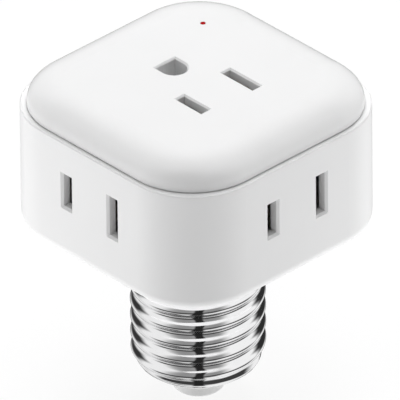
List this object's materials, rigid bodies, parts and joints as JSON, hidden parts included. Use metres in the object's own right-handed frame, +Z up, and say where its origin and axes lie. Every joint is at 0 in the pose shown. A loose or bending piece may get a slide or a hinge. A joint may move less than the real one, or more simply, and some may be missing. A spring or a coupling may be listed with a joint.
{
  "type": "lamp socket adapter",
  "caption": "Rounded square plug-in adapter that screws into a lamp holder, with a three-pin outlet on top, two-pin outlets round its sides and a small red pilot light.",
  "frame": {"origin": "face of the centre contact, on the axis of the screw base", "axes": "+Z up the screw axis to the top outlet, -Y through the front outlet, +X through the right outlet"},
  "size_m": [0.056, 0.056, 0.0691],
  "materials": {
    "body_white": "satin white moulding",
    "cover_white": "gloss white moulding",
    "lens_red": "clear red light guide",
    "lamp_red": "clear red lamp body",
    "resistor_tan": "painted ceramic",
    "tray_white": "plain moulding",
    "contact_brass": "stamped sheet",
    "core_white": "plain moulding",
    "shell_nickel": "bright nickel plate on a drawn shell",
    "contact_nickel": "satin plated button"
  },
  "bodies": {
    "root": {"housing": "body_white", "top_cover": "cover_white", "indicator_lens": "lens_red", "indicator_lamp": "lamp_red", "dropper_resistor": "resistor_tan", "contact_tray": "tray_white", "live_bus": "contact_brass", "neutral_bus": "contact_brass", "top_live_clip": "contact_brass", "top_neutral_clip": "contact_brass", "live_strap": "contact_brass", "neutral_strap": "contact_brass", "base_core": "core_white", "screw_shell": "shell_nickel", "centre_contact": "contact_nickel", "front_live_clip": "contact_brass", "front_neutral_clip": "contact_brass", "right_live_clip": "contact_brass", "right_neutral_clip": "contact_brass", "back_live_clip": "contact_brass", "back_neutral_clip": "contact_brass", "left_live_clip": "contact_brass", "left_neutral_clip": "contact_brass"}
  },
  "joints": []
}
